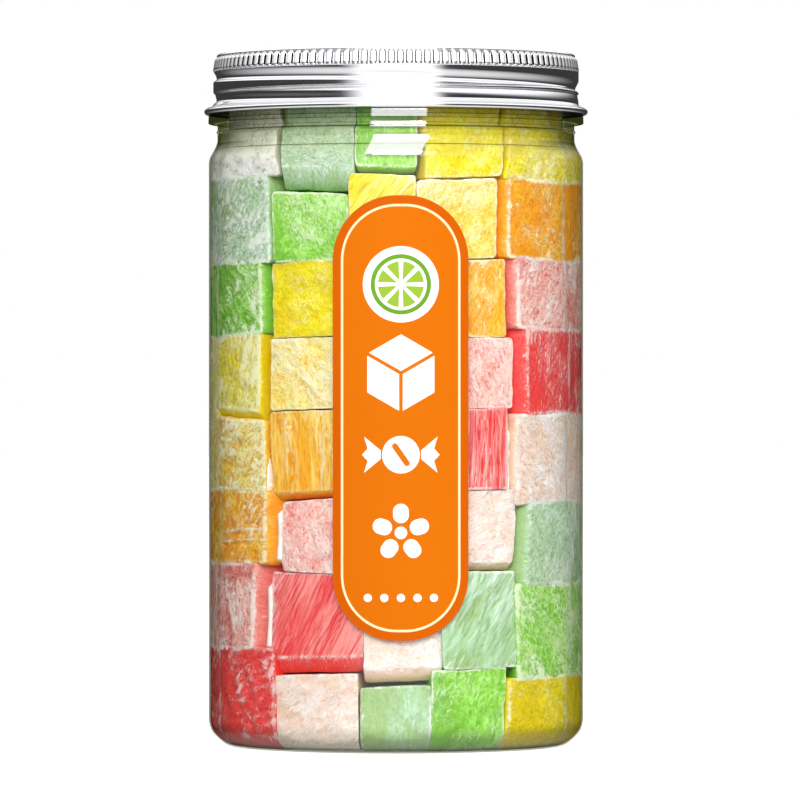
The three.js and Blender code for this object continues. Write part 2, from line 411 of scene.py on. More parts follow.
def wall_tint_and_shade(n, level, outward, outside, facing):
    """The colour of what shows through the wall: a faint tint, and painted shade where the wall is
    seen edge on, at the foot, at the flange and at the neck's moulded rings."""
    normal = n.add("NewGeometry").outputs["Normal"]
    upright = n.between(n.size(n.split(normal)["Z"]), 0.3, 0.75, 1.0, 0.1)
    # Painted shade where the neck, the flange's ends and the wall's edges are seen slanting
    neck = n.times(n.between(level, 0.1015, 0.105), n.between(facing, 0.32, 0.8), outside)
    slanted = n.most(n.between(facing, 0.51, 0.57), n.between(facing, 0.1, 0.45, 0.0, 0.3))
    flange = n.times(
        n.between(outward, 0.0313, 0.0318), slanted, n.between(level, 0.105, 0.1055))
    edge = n.times(n.most(n.times(n.between(facing, 0.86, 0.97), 0.9), neck), upright)
    # Painted shade at the foot, where the base's corner lies in shadow
    foot = n.most(
        n.between(level, 0.003, 0.005, 0.11, 0.0), n.between(level, 0.0004, 0.0012, 0.45, 0.0))
    rings = []
    for height, half, strength in RING_SHADE_LINES:
        away = n.size(n.minus(level, height * MM))
        line = n.between(away, half * 0.6 * MM, half * 1.4 * MM, strength, 0.0)
        rings.append(n.times(line, outside))
    clear = n.mix_colour(n.between(level, 0.1, 0.1035), BODY_TINT, NECK_TINT)
    wall = n.mix_colour(n.times(n.between(facing, 0.35, 1.0), upright), clear, SLANT_SHADE)
    wall = n.mix_colour(n.most(edge, foot, *rings), wall, EDGE_SHADE)
    return n.mix_colour(flange, wall, FLANGE_SHADE)


def painted_reflection_patch(n, across, along, level, outside, low, high, start, stop):
    """How much one of the painted reflection patches mirrors."""
    middle = n.add(
        "MapRange", i0=level, i1=low * MM, i2=high * MM, i3=start * MM, i4=stop * MM)
    aside = n.size(n.minus(across, middle))
    soft, rim = 0.2 * MM, 0.1 * MM
    return n.times(
        n.between(aside, REFLECTION_PATCH_HALF * MM - soft, REFLECTION_PATCH_HALF * MM + soft, REFLECTION_PATCH_SHARE, 0.0),
        n.between(level, low * MM - rim, low * MM + rim),
        n.between(level, high * MM - rim, high * MM + rim, 1.0, 0.0),
        n.math("LESS_THAN", along, 0.0), outside)


def clear_plastic():
    """Thin clear plastic: what is behind shows through, tinted and with painted shade, under a thin
    gloss that mirrors far more in painted reflection patches at the front of the neck.
    """
    n = Nodes(bpy.data.materials.new("clear_plastic"))
    place = n.place()
    across, along, level = n.split(place)
    outward = n.math("SQRT", n.plus(n.math("POWER", across, 2.0), n.math("POWER", along, 2.0)))
    outside = n.math("GREATER_THAN", outward, (NECK_RADIUS - WALL / 2) * MM)
    facing = n.add("LayerWeight", Blend=0.5).outputs["Facing"]
    share = n.add(
        "Math", {"operation": "MULTIPLY_ADD"}, i0=n.math("POWER", facing, 4.0), i1=0.08,
        i2=0.02)
    # Painted reflection: stronger mirroring in patches where the softbox's reflection falls
    patches = [painted_reflection_patch(n, across, along, level, outside, *spot) for spot in REFLECTION_PATCHES]
    through = n.add(
        "BsdfTransparent", Color=wall_tint_and_shade(n, level, outward, outside, facing))
    gloss = n.add(
        "BsdfGlossy", Color=(1, 1, 1, 1), Roughness=0.02,
        Normal=n.bump(n.noise(place, 60.0, 1.0), 0.03, 0.0004))
    return n.finish("MixShader", i0=n.most(share, *patches), i1=through, i2=gloss)


def cap_metal():
    """Rolled aluminium, with painted shade, nearly black, in the grooves between the knurls that an
    attribute marks.
    """
    n = Nodes(bpy.data.materials.new("cap_metal"))
    place = n.place()
    rolled = n.noise(n.add("Mapping", Vector=place, Scale=(40, 40, 1500)), 1.0, 2.0)
    speck = n.noise(place, 700.0, 2.0)
    tint = n.mix_colour(speck, (0.8, 0.8, 0.82, 1), (0.82, 0.82, 0.84, 1))
    # Painted shade: nearly black in the grooves between the knurls
    tint = n.mix_colour(n.attribute("painted_groove_shade"), tint, (0.035, 0.035, 0.038, 1))
    return n.finish(
        "BsdfPrincipled", Base_Color=tint, Metallic=1.0,
        Roughness=n.between(rolled, 0.3, 0.7, 0.12, 0.16), Normal=n.bump(rolled, 0.004, 0.00005))


def printed(name, ink, warmer):
    """Ink on film, a little uneven."""
    n = Nodes(bpy.data.materials.new(name))
    place = n.place()
    broad, fibre = n.noise(place, 25.0, 2.0), n.noise(place, 2500.0, 2.0)
    return n.finish(
        "BsdfPrincipled",
        Base_Color=n.mix_colour(n.between(broad, 0.35, 0.65), ink, warmer),
        Roughness=n.between(fibre, 0.3, 0.7, 0.42, 0.5), Normal=n.bump(fibre, 0.04, 0.00003),
        Specular_IOR_Level=0.06)


def sugar_dust():
    """Loose fine sugar, nearly white."""
    n = Nodes(bpy.data.materials.new("sugar_core"))
    dust = n.noise(n.place(), 700.0, 4.0)
    return n.finish(
        "BsdfPrincipled", Roughness=0.7, Normal=n.bump(dust, 0.5, 0.0003),
        Base_Color=n.mix_colour(dust, colour(253, 248, 238), colour(255, 254, 250)))


def floor_material():
    """Matt paper, so bright to the camera that it meets the white behind it without a line."""
    n = Nodes(bpy.data.materials.new("floor_paper"))
    fibre = n.noise(n.place(), 300.0, 3.0)
    glow = n.times(n.add("LightPath").outputs["Is Camera Ray"], 0.95)
    return n.finish(
        "BsdfPrincipled",
        Base_Color=n.mix_colour(fibre, (0.37, 0.37, 0.37, 1), (0.39, 0.39, 0.39, 1)),
        Roughness=0.9, Specular_IOR_Level=0.0, Emission_Color=(1, 1, 1, 1),
        Emission_Strength=glow)


# ---- jar
def push_up(radius, rise):
    """The height of the pushed-up middle of the base, or of what lies rise above it."""
    return rise + PUSH_UP * (1 - ease(np.asarray(radius) / STAND_RADIUS))


def base_outline(rise):
    return [(r, float(push_up(r, rise))) for r in np.linspace(0, STAND_RADIUS, 9)]


def slope(from_radius, from_height, to_radius, to_height, steps):
    """An S-shaped stretch of an outline."""
    return [
        (mix(from_radius, to_radius, float(ease(t))), mix(from_height, to_height, t))
        for t in np.linspace(0, 1, steps + 1)]


def make_jar():
    inner = JAR_RADIUS - WALL
    neck_inner = NECK_RADIUS - WALL
    mouth_inner = MOUTH_RADIUS - MOUTH_WALL
    flange_edge = FLANGE_RADIUS - NECK_ROUND
    outside = [
        *base_outline(0),
        *arc(JAR_RADIUS - BASE_CORNER, BASE_CORNER, BASE_CORNER, -90, 0, 14),
        *slope(JAR_RADIUS, SHOULDER_LOW, NECK_RADIUS, SHOULDER_HIGH, 18),
        *arc(NECK_RADIUS, BEAD_HEIGHT, NECK_ROUND, -80, 80, 8),
        (NECK_RADIUS, BEAD_HEIGHT + NECK_STRAIGHT),
        (NECK_RADIUS, FLANGE_LOW - NECK_STRAIGHT),
        *arc(NECK_RADIUS + NECK_ROUND, FLANGE_LOW - NECK_ROUND, NECK_ROUND, 180, 90, 4),
        *arc(flange_edge, FLANGE_LOW + NECK_ROUND, NECK_ROUND, -90, 10, 4),
        *arc(flange_edge - 0.05, FLANGE_HIGH - NECK_ROUND, NECK_ROUND, 0, 90, 5),
        (MOUTH_RADIUS, FLANGE_HIGH),
        (MOUTH_RADIUS, MOUTH_TOP),
    ]
    inside = [
        (mouth_inner, MOUTH_TOP),
        (mouth_inner, MOUTH_STEP + NECK_ROUND),
        (neck_inner, MOUTH_STEP - NECK_ROUND),
        *slope(neck_inner, SHOULDER_HIGH, inner, SHOULDER_LOW, 16),
        *arc(JAR_RADIUS - BASE_CORNER, BASE_CORNER, BASE_CORNER - WALL, 0, -90, 12),
        *base_outline(WALL)[::-1],
    ]
    piece = turned("jar_wall", outside + inside, clear_plastic(), columns=256)
    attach(piece, "root")
    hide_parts("jar")


def wall_limit(height):
    """How far out the contents may reach at a height."""
    neck_inner = NECK_RADIUS - WALL
    inner = JAR_RADIUS - WALL
    past = np.clip((height - SHOULDER_LOW) / (SHOULDER_HIGH - SHOULDER_LOW), 0, 1)
    limit = mix(inner, neck_inner, ease(past))
    mouth = np.clip((height - MOUTH_STEP + MOUTH_LEAD) / MOUTH_TAPER, 0, 1)
    limit = mix(limit, np.minimum(limit, MOUTH_RADIUS - MOUTH_WALL), mouth)
    corner = BASE_CORNER - WALL
    below = np.clip(BASE_CORNER - height, 0, corner)
    base = JAR_RADIUS - BASE_CORNER + np.sqrt(corner**2 - below**2)
    return np.minimum(limit, base) - CLEARANCE


# ---- cap
def pressed_in(degrees, height):
    """How far the skirt is pressed in by its screw groove, the crease under it and the shelf."""
    depth = 0
    around = (degrees + 180) % 360 - 180
    for turn in (0, 1):
        along = around + 360 * turn
        middle = GROOVE_FRONT - GROOVE_PITCH * along / 360
        start = ease((along - GROOVE_START) / GROOVE_LEAD_IN)
        stop = ease((GROOVE_STOP - along) / GROOVE_LEAD_OUT)
        half = np.where(height > middle, *GROOVE_HALVES)
        depth = depth + GROOVE_DEPTH * (start * stop) * hump(height - middle, half)
    up = np.clip((height - SHELF_LOW) / (SHELF_HIGH - SHELF_LOW), 0, 1)
    ring = SHELF_DEPTH * (up**2 - ease((height - SHELF_HIGH) / SHELF_STEP))
    pressed = np.minimum(depth + ring * (1 - depth / GROOVE_DEPTH), GROOVE_DEPTH)
    crease = hump(height - CREASE_FRONT + CREASE_PITCH * around / 360, CREASE_HALF)
    return pressed + CREASE_DEPTH * crease * ease((CREASE_REACH - np.abs(around)) / CREASE_FADE)


# Where the columns of points stand across one knurl, as parts of its width
KNURL_COLUMNS = (
    0, 0.09, 0.13, 0.16, 0.19, 0.22, 0.27, 0.4, 0.6, 0.73, 0.78, 0.81, 0.84, 0.87, 0.91)
KNURL_ROWS = 26
KNURL_RAISED, KNURL_THICK = 0.12, 1.2
# The pads' half width, how far their ends stay from the band's edges, where their sides drop and
# over how far, as parts of the half width, and how much of the knurls' depth they are domed by
PAD_HALF, PAD_MARGIN = 0.5, 0.16
PAD_EDGE, PAD_DROP, PAD_DOME = 0.85, 0.4, 0.14


def knurl_relief(across, heights):
    """The radii of the knurled band and how much painted shade darkens its grooves there."""
    middle, span = (KNURL_LOW + KNURL_HIGH) / 2, KNURL_HIGH - KNURL_LOW
    past_end = np.abs(heights - middle) - (span / 2 - PAD_MARGIN - PAD_HALF)
    away = np.hypot(across[None, :], np.maximum(past_end, 0)[:, None]) / PAD_HALF
    drop = ease((away - PAD_EDGE) / PAD_DROP)
    sunk = KNURL_DEPTH * (drop + PAD_DOME * np.clip(away, 0, 1) ** 2)
    lean = KNURL_LEAN * ((heights - KNURL_LOW) / span)[:, None]
    plain = ease((past_end - PAD_HALF) / 0.1)[:, None]
    # Painted shade in the grooves: darkest on their steep walls, fainter towards the band's plain
    # ends
    groove_shade = np.maximum(np.sqrt(4 * drop * (1 - drop)), 0.25 * drop) * (1 - 0.5 * plain)
    groove_shade *= 1 - 0.6 * ease(past_end / PAD_HALF)[:, None]
    return CAP_RADIUS - mix(sunk, KNURL_DEPTH * 0.6, plain) - lean + KNURL_RAISED, groove_shade


def make_knurls(metal):
    """The band of upright round-ended pads, a closed ring let into the cap."""
    pitch = 360 / KNURLS
    degrees = (np.arange(KNURLS)[:, None] + np.array(KNURL_COLUMNS)).ravel() * pitch
    across = (np.tile(KNURL_COLUMNS, KNURLS) - 0.5) * math.radians(pitch) * CAP_RADIUS
    heights = np.linspace(KNURL_LOW, KNURL_HIGH, KNURL_ROWS)
    radii, groove_shade = knurl_relief(across, heights)
    radii = np.vstack([radii, np.full((2, len(degrees)), CAP_RADIUS - KNURL_THICK)])
    heights = np.concatenate([heights, [KNURL_HIGH, KNURL_LOW]])
    points = polar(radii, degrees[None, :], heights[:, None])
    points = np.vstack([points.reshape(-1, 3), points[0]])
    faces = grid_faces(len(heights) + 1, len(degrees))
    piece = make_object("cap_knurls", points, faces, metal)
    # The painted groove shade, kept for the cap's material
    set_attribute(piece, "painted_groove_shade", np.append(groove_shade.ravel(), np.zeros(len(points) - groove_shade.size)))
    reshape(piece, weld=1e-7)
    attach(piece, "root")


def press_skirt(radii, heights, degrees):
    skirt = np.isclose(radii, CAP_RADIUS)
    return radii - np.where(skirt, pressed_in(degrees, heights), 0)


def make_cap():
    metal = cap_metal()
    shoulder = CAP_RADIUS - KNURL_LEAN - 0.15
    inner = CAP_RADIUS - GROOVE_DEPTH - CAP_WALL
    ring_out, ring_in = CAP_RADIUS - 2.7, CAP_RADIUS - 4.2
    outline = [
        # the top, with a shallow ring in it
        (0, CAP_TOP),
        (ring_in, CAP_TOP),
        (ring_in + 0.3, CAP_TOP - 0.12),
        (ring_out - 0.3, CAP_TOP - 0.12),
        (ring_out, CAP_TOP),
        *arc(shoulder - CAP_ROUND, CAP_TOP - CAP_ROUND, CAP_ROUND, 90, 10, 8),
        # the seat of the knurled band, and the skirt
        (shoulder - 0.2, KNURL_HIGH - 0.12),
        (shoulder - 0.2, KNURL_LOW + 0.4),
        (CAP_RADIUS - 0.1, KNURL_LOW + 0.16),
        *[(CAP_RADIUS, z) for z in np.linspace(SKIRT_LOW, KNURL_LOW + 0.1, 84)[::-1]],
        # the hollow over the rolled rim, and the rim
        (CAP_RADIUS + 0.12, RIM_HIGH + 0.62),
        (CAP_RADIUS + 0.42, RIM_HIGH + 0.44),
        (CAP_RADIUS + 0.85, RIM_HIGH + 0.28),
        (RIM_RADIUS - 0.42, RIM_HIGH + 0.16),
        (RIM_RADIUS - 0.34, RIM_HIGH + 0.07),
        (RIM_RADIUS - 0.42, RIM_HIGH),
        *arc(RIM_RADIUS - RIM_ROUND, RIM_HIGH - RIM_ROUND, RIM_ROUND, 75, 0, 5),
        (RIM_RADIUS, RIM_LOW + 0.34),
        (RIM_RADIUS - 0.06, RIM_LOW + 0.24),
        (RIM_RADIUS - 0.25, RIM_LOW + 0.05),
        (RIM_RADIUS - 0.4, RIM_LOW),
        # the inside
        (inner + 0.9, RIM_LOW),
        (inner, RIM_LOW + 0.5),
        (inner, CAP_TOP - 1.0),
        (inner - 0.6, CAP_TOP - CAP_WALL),
        (0, CAP_TOP - CAP_WALL),
    ]
    piece = turned("cap_shell", outline, metal, columns=288, shape=press_skirt)
    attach(piece, "root")
    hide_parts("cap")
    make_knurls(metal)


# ---- label
LABEL_RADIUS = JAR_RADIUS + 0.08
LABEL_FILM = 0.1
LABEL_INK = 0.03
LAYER_GAP = 0.004
LABEL_WIDTH = 23.4
LABEL_HEIGHT = LABEL_HIGH[2] - LABEL_LOW[2]
LABEL_MIDDLE = (LABEL_HIGH[2] + LABEL_LOW[2]) / 2
LABEL_ANGLE = 1.5
LABEL_CORNER = 11.0
# The width of the strips that a layer is cut into before it is wrapped round the jar
WRAP_STEP = 0.6
LINE_INSET, LINE_WIDTH = 1.45, 0.42
DISC_HEIGHT, DISC_RADIUS, SLICE_RADIUS = 22.6, 6.45, 5.1
DOT_HEIGHT, DOT_RADIUS = -30.4, 0.7
DOT_PLACES = (-5.6, -2.8, 0, 2.8, 5.6)


def pill(width, height, corner, steps=24):
    """Outline of an upright rounded rectangle round the origin."""
    across, up = width / 2 - corner, height / 2 - corner
    points = []
    for start, side, end in ((0, 1, 1), (90, -1, 1), (180, -1, -1), (270, 1, -1)):
        points += arc(side * across, end * up, corner, start, start + 90, steps)
    return points


def circle(x, y, radius, steps=64):
    return arc(x, y, radius, 0, 360 * (1 - 1 / steps), steps - 1)


def filled(outlines):
    """Flat outlines, with holes inside shapes, as faces."""
    curve = bpy.data.curves.new("flat", "CURVE")
    curve.dimensions = "2D"
    curve.fill_mode = "BOTH"
    for outline in outlines:
        spline = curve.splines.new("POLY")
        spline.points.add(len(outline) - 1)
        for point, (x, y) in zip(spline.points, outline):
            point.co = (x, y, 0, 1)
        spline.use_cyclic_u = True
    flat = bpy.data.objects.new("flat", curve)
    bpy.context.scene.collection.objects.link(flat)
    shape = bmesh.new()
    shape.from_mesh(flat.to_mesh())
    flat.to_mesh_clear()
    bpy.data.objects.remove(flat)
    bpy.data.curves.remove(curve)
    return shape


def wrapped(name, outlines, lift, material, thickness=LABEL_INK):
    """Outlines cut into strips, thickened and wrapped round the jar, lift above the film's back."""
    shape = filled(outlines)
    bmesh.ops.remove_doubles(shape, verts=shape.verts, dist=1e-4)
    xs = [vertex.co.x for vertex in shape.verts]
    for x in np.arange(min(xs) + WRAP_STEP / 2, max(xs), WRAP_STEP):
        everything = shape.verts[:] + shape.edges[:] + shape.faces[:]
        bmesh.ops.bisect_plane(shape, geom=everything, plane_co=(x, 0, 0), plane_no=(1, 0, 0))
    made = bmesh.ops.extrude_face_region(shape, geom=shape.faces[:])["geom"]
    for vertex in (part for part in made if isinstance(part, bmesh.types.BMVert)):
        vertex.co.z += thickness
    bmesh.ops.recalc_face_normals(shape, faces=shape.faces)
    across, up, out = np.array([vertex.co for vertex in shape.verts]).T
    shape.verts.index_update()
    faces = [[vertex.index for vertex in face.verts] for face in shape.faces]
    shape.free()
    degrees = LABEL_ANGLE + np.degrees(across / LABEL_RADIUS)
    points = polar(LABEL_RADIUS + lift + out, degrees, LABEL_MIDDLE + up)
    piece = make_object(name, points, faces, material, smooth=False)
    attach(piece, "root")
    return piece


def at(x, y, reach, degrees):
    """The point that is reach away from x, y."""
    angle = math.radians(degrees)
    return x + reach * math.cos(angle), y + reach * math.sin(angle)


def moved(points, degrees, x, y):
    """Points turned round the origin and then moved."""
    c, s = at(0, 0, 1, degrees)
    return [(x + c * px - s * py, y + s * px + c * py) for px, py in points]


CUBE_GAP = 0.35
# The twisted end of a sweet's wrapper, as parts of the motif's size
FAN = (
    (0.56, 0.12), (1.02, 0.5), (0.92, 0.17), (1.08, 0.0), (0.92, -0.17), (1.02, -0.5),
    (0.56, -0.12))


def cube_motif(x, y, size):
    """A block of candy in outline: three rhombs with a gap between them."""
    shapes = []
    for start in (90, 210, 330):
        middle = at(x, y, CUBE_GAP, start)
        rim = [at(*middle, size, start + turn) for turn in (-60, 0, 60)]
        shapes.append([middle, *rim])
    return shapes


def sweet_motif(x, y, size):
    """A wrapped sweet: a round middle with a slot in it and a fan at each side."""
    shapes = [circle(x, y, size * 0.52)]
    for side in (-1, 1):
        shapes.append([(x + side * size * px, y + size * py) for px, py in FAN])
    shapes.append(moved(pill(size * 0.16, size * 0.74, size * 0.079, 6), 35, x, y))
    return shapes


def flower_motif(x, y, size, petals=5):
    petal = pill(size * 0.5, size * 0.62, size * 0.245, 8)
    shapes = []
    for i in range(petals):
        degrees = 90 + 360 * i / petals
        shapes.append(moved(petal, degrees - 90, *at(x, y, size * 0.62, degrees)))
    shapes.append(circle(x, y, size * 0.2, 24))
    return shapes


def slice_motif(x, y, size, wedges=8, gap=6):
    """A citrus slice: a ring of rind, and wedges with twice the gap between them, in degrees."""
    rind = [circle(x, y, size), circle(x, y, size * 0.86)]
    shapes = []
    for i in range(wedges):
        start = 360 * i / wedges + gap
        stop = 360 * (i + 1) / wedges - gap
        tip = at(x, y, size * 0.14, (start + stop) / 2)
        shapes.append([tip, *arc(x, y, size * 0.76, start, stop, 6)])
    return rind, shapes


def inset_pill(inset):
    return pill(LABEL_WIDTH - 2 * inset, LABEL_HEIGHT - 2 * inset, LABEL_CORNER - inset)


def make_label():
    """The printed film: its layers lie on each other, with a hair of air between them."""
    border = printed("ink_border", colour(201, 89, 0), colour(204, 92, 0))
    film = wrapped("label_film", [inset_pill(0)], 0, border, thickness=LABEL_FILM)
    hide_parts("label")
    first = LABEL_FILM + LAYER_GAP
    second, third = [first + count * (LABEL_INK + LAYER_GAP) for count in (1, 2)]
    cream = colour(244, 226, 176)
    line_inner = LINE_INSET + LINE_WIDTH
    line = [inset_pill(LINE_INSET), inset_pill(line_inner)]
    wrapped("label_line", line, first, printed("ink_cream", cream, cream))
    orange = printed("ink_orange", colour(210, 106, 3), colour(213, 109, 3))
    wrapped("label_panel", [inset_pill(line_inner)], first, orange)
    white = colour(255, 254, 250)
    white_ink = printed("ink_white", white, white)
    motifs = [
        *cube_motif(0, 7.6, 6.2), *sweet_motif(0, -6.2, 6.1), *flower_motif(0, -19.4, 5.3)]
    wrapped("label_motifs", motifs, second, white_ink)
    wrapped("label_disc", [circle(0, DISC_HEIGHT, DISC_RADIUS)], second, white_ink)
    rind, wedges = slice_motif(0, DISC_HEIGHT, SLICE_RADIUS)
    green = printed("ink_green", colour(103, 154, 40), colour(108, 160, 44))
    wrapped("label_rind", rind, third, green)
    lime = printed("ink_lime", colour(146, 180, 58), colour(151, 184, 60))
    wrapped("label_wedges", wedges, third, lime)
    dots = [circle(x, DOT_HEIGHT, DOT_RADIUS, 20) for x in DOT_PLACES]
    wrapped("label_dots", dots, second, white_ink)


# ---- candy blocks
# Display colours of a cut side, of the jelly and of its thicker skin, in the order in which they
# run round and down the jar: each tier starts one kind further on than the tier above it. The last
# kind isn't part of that order.
KINDS = {
    "milk": ((236, 198, 164), (248, 220, 206), (254, 243, 236)),
    "mint": ((158, 192, 118), (176, 213, 170), (214, 236, 211)),
    "green": ((116, 184, 46), (153, 221, 84), (208, 242, 168)),
    "lemon": ((224, 200, 0), (243, 226, 8), (253, 244, 140)),
    "honey": ((244, 180, 20), (250, 212, 72), (254, 240, 158)),
    "apricot": ((245, 155, 12), (250, 186, 42), (254, 222, 126)),
    "pink": ((224, 104, 94), (246, 165, 155), (253, 215, 205)),
    "red": ((243, 64, 60), (238, 74, 76), (252, 152, 146)),
    "plain": ((196, 200, 176), (222, 224, 208), (247, 247, 240)),
}
# Blocks that aren't of the kind that their place in that order gives them
ODD_BLOCKS = {(0, 0): "plain", (0, 4): "lemon"}
# Where the front blocks start and stop, in degrees, from the top tier down
FRONT_SEAMS = (
    (-95, -42.6, -13.4, 7.2, 36.6, 90),
    (-94, -41.1, -14.5, 6.6, 32.6, 88),
    (-96, -42.8, -15.7, 7.6, 35.7, 91),
    (-97, -44.9, -15.1, 7.3, 38.4, 93),
    (-95, -43.8, -14.8, 7.6, 36.2, 90),
    (-93, -39.7, -14.5, 7.3, 39.5, 94),
    (-97, -43.9, -9.8, 13.8, 39.9, 93),
    (-94, -40.3, -11.6, 10.7, 35.7, 90),
)
# The first and last of these columns hold two blocks of a kind, which meet at these angles
SIDES = (0, 4)
SIDE_SEAMS = (
    (-71, 66), (-70, 63), (-72, 65), (-73, 68), (-71, 65), (-69, 69), (-73, 69), (-70, 65))
# How far the top tier's seams lean out, in degrees, so that they stay upright where the jar narrows
TOP_TILTS = (0, -3.7, -0.7, 0.4, 2.6, 0)
# Heights where the front blocks meet, from the bottom, for each of the front columns
FRONT_LEVELS = (
    (17.4, 31.9, 44.4, 56.6, 71.0, 83.5, 98.0),
    (13.5, 30.6, 43.2, 58.3, 70.6, 83.6, 95.3),
    (11.5, 31.1, 44.8, 58.5, 70.5, 84.0, 98.3),
    (14.4, 30.9, 44.7, 58.5, 70.5, 83.7, 97.5),
    (12.5, 28.5, 42.5, 57.5, 72.0, 84.0, 97.5),
)
# Faces that stand back from their seam and show a cut side, in mm at their left, right and bottom,
# for (tier from the top, block)
OPENINGS = {
    (0, 1): (0.6, 0, 4.2), (0, 2): (0, 0, 1.1), (0, 3): (1.25, 0, 0.3), (0, 4): (1.0, 0, 0),
    (1, 0): (0, 0.9, 0), (1, 4): (2.2, 0, 0),
    (2, 0): (0, 1.75, 0), (2, 1): (0.95, 0, 0), (2, 4): (2.6, 0, 0),
    (3, 0): (0, 0.9, 1.9), (3, 1): (1.9, 0, 0), (3, 4): (3.3, 0, 0.3),
    (4, 0): (0, 0.3, 0.2), (4, 1): (0.6, 0, 1.4), (4, 4): (1.3, 0, 0),
    (5, 0): (0, 2.4, 0.3), (5, 3): (0, 0, 1.4), (5, 4): (3.0, 0, 0),
    (6, 0): (0, 3.1, 0), (6, 1): (0, 0, 2.7), (6, 2): (0, 0, 2.3),
    (7, 0): (0, 0, 2.1), (7, 2): (0.4, 0, 0), (7, 4): (0.5, 0, 0),
}
# Gaps at the left of a block, in mm at its bottom and at its top, and gaps under a block
SIDE_GAPS = {
    (0, 1): (0.2, 2.5), (0, 4): (0.0, 2.2), (4, 1): (0.25, 0.1), (4, 4): (1.0, 0.8),
    (5, 1): (1.5, 1.2), (6, 1): (1.5, 1.2),
}
GAPS_BELOW = {(6, 1): 0.12, (6, 2): 0.8}
# Gaps that are banked up with sugar dust, and from where to where up the block it lies
DUSTED = {(4, 1): (0.02, 0.62), (4, 4): (0.05, 0.97), (5, 1): (0.08, 0.96), (6, 1): (0.2, 0.97)}
# Faces whose skin runs in streaks: how far they lean, in radians, and how long they are
STREAKS = {
    (1, 2): (-0.7, 6.0), (4, 1): (0.05, 5.0), (4, 3): (0.0, 8.0), (6, 1): (-0.42, 9.0),
    (6, 3): (-0.6, 4.0),
}
# How much thicker or thinner than usual the skin is, for the blocks in front
SKINS = (
    (0.3, 0.25, -0.15, -0.1, -0.05),
    (0.05, 0.0, 0.0, 0.15, -0.36),
    (-0.22, -0.2, 0.0, -0.1, 0.1),
    (0.25, 0.4, 0.0, 0.2, -0.2),
    (0.05, 0.1, 0.0, 0.05, 0.0),
    (-0.3, 0.25, 0.0, 0.1, 0.05),
    (0.05, 0.2, 0.15, -0.1, 0.1),
    (-0.5, 0.05, -0.35, -0.2, -0.6),
)
# What the skins are like in each front column, and last in the columns behind: how high the folds
# stand, how much sugar lies on them, how uneven the colour is, how strong the painted shade in the
# hollows is, and how much sugar is rubbed off
COLUMN_SKINS = (
    (2.3, 2.3, 0.48, 0.85, 0.0), (1.0, 0.7, 0.28, 0.15, 0.08), (1.0, 0.7, 0.28, 0.15, 0.08),
    (1.0, 0.7, 0.28, 0.2, 0.08), (1.0, 1.4, 0.28, 0.55, 0.0), (1.0, 1.0, 0.28, 0.4, 0.0),
)
# The least painted shade in the hollows of a streaked face
STREAKED_HOLLOW_SHADE = 0.4
# The columns at the sides of the front bulge towards the wall, and the others stand back, in mm
BULGING, BULGE, STAND_BACK = (0, 4, 5, BLOCKS_ROUND - 1), 0.25, -0.12
# Folds that cross a face, as parts of its height
CREASES = {(5, 0): (0.45, 0.31)}
# Small round pits: part of the width, part of the height and radius in mm
PITS = {
    (5, 4): ((0.5, 0.33, 0.55),),
    (6, 0): (
        (0.38, 0.55, 0.3), (0.58, 0.68, 0.3), (0.73, 0.73, 0.28), (0.37, 0.7, 0.3),
        (0.23, 0.33, 0.3)),
}
# The distances between a skin's folds, in mm, and the turns and pulls that its grain may have
FOLDS, FINE_FOLDS = (4.2, 2.6, 1.5), (1.7, 1.1)
TURNS, PULLS = (0.0, 0.3, -0.4, 1.3, 0.8, -1.0), (1.0, 1.1, 1.25, 1.5)
FACE_LINES = 41
# How far behind the face each ring of a block's side stands
SIDE_ROWS = (0.3, 0.7, 1.4, 3.2, 5.0, 7.5)
# How far behind its face a block that stands back has its full width, and its full height
OPEN_DEPTH, LOW_OPEN_DEPTH = 3.2, 1.5
EDGE_ROUND = 0.28
# Where lines of points lie in the rounding of an edge, as parts of it
EDGE_LINES = (0, 0.12, 0.3, 0.6)
# 0 makes a face as round as the jar's wall, and 1 makes it flat
FLATNESS = 0.4
# Degrees round the jar in one mm at the blocks' faces
DEGREE = 180 / (math.pi * HEAP_RADIUS)


def seam_plan():
    """Angles at the bottom and the top of every seam: (tier, end, seam)."""
    plan = []
    for row, front in enumerate(FRONT_SEAMS):
        steps = np.cumsum(1 + RANDOM.uniform(-0.09, 0.09, BLOCKS_ROUND - len(front) + 1))
        back = front[-1] + steps[:-1] / steps[-1] * (360 + front[0] - front[-1])
        seams = np.array([*front, *back, front[0] + 360])
        tilt = np.append(RANDOM.uniform(-0.9, 0.9, BLOCKS_ROUND), 0)
        if row == 0:
            tilt[:len(TOP_TILTS)] = TOP_TILTS
        tilt[-1] = tilt[0]
        plan.append(np.stack([seams - tilt, seams + tilt]))
    return np.array(plan)


def level_plan():
    """Heights at the left and right of every level seam: (column, level, side)."""
    plan = np.empty((BLOCKS_ROUND, TIERS + 1, 2))
    for column in range(BLOCKS_ROUND):
        middle = np.array(TIER_LEVELS) + RANDOM.uniform(-1.4, 1.4, TIERS + 1)
        if column < FRONT_BLOCKS:
            middle = np.array([TIER_LEVELS[0], *FRONT_LEVELS[column], TIER_LEVELS[-1]])
        rise = RANDOM.uniform(-0.45, 0.45, TIERS + 1)
        plan[column] = np.stack([middle - rise, middle + rise], -1)
    plan[:, 0] = TIER_LEVELS[0]
    plan[:, -1] = TIER_LEVELS[-1]
    return plan


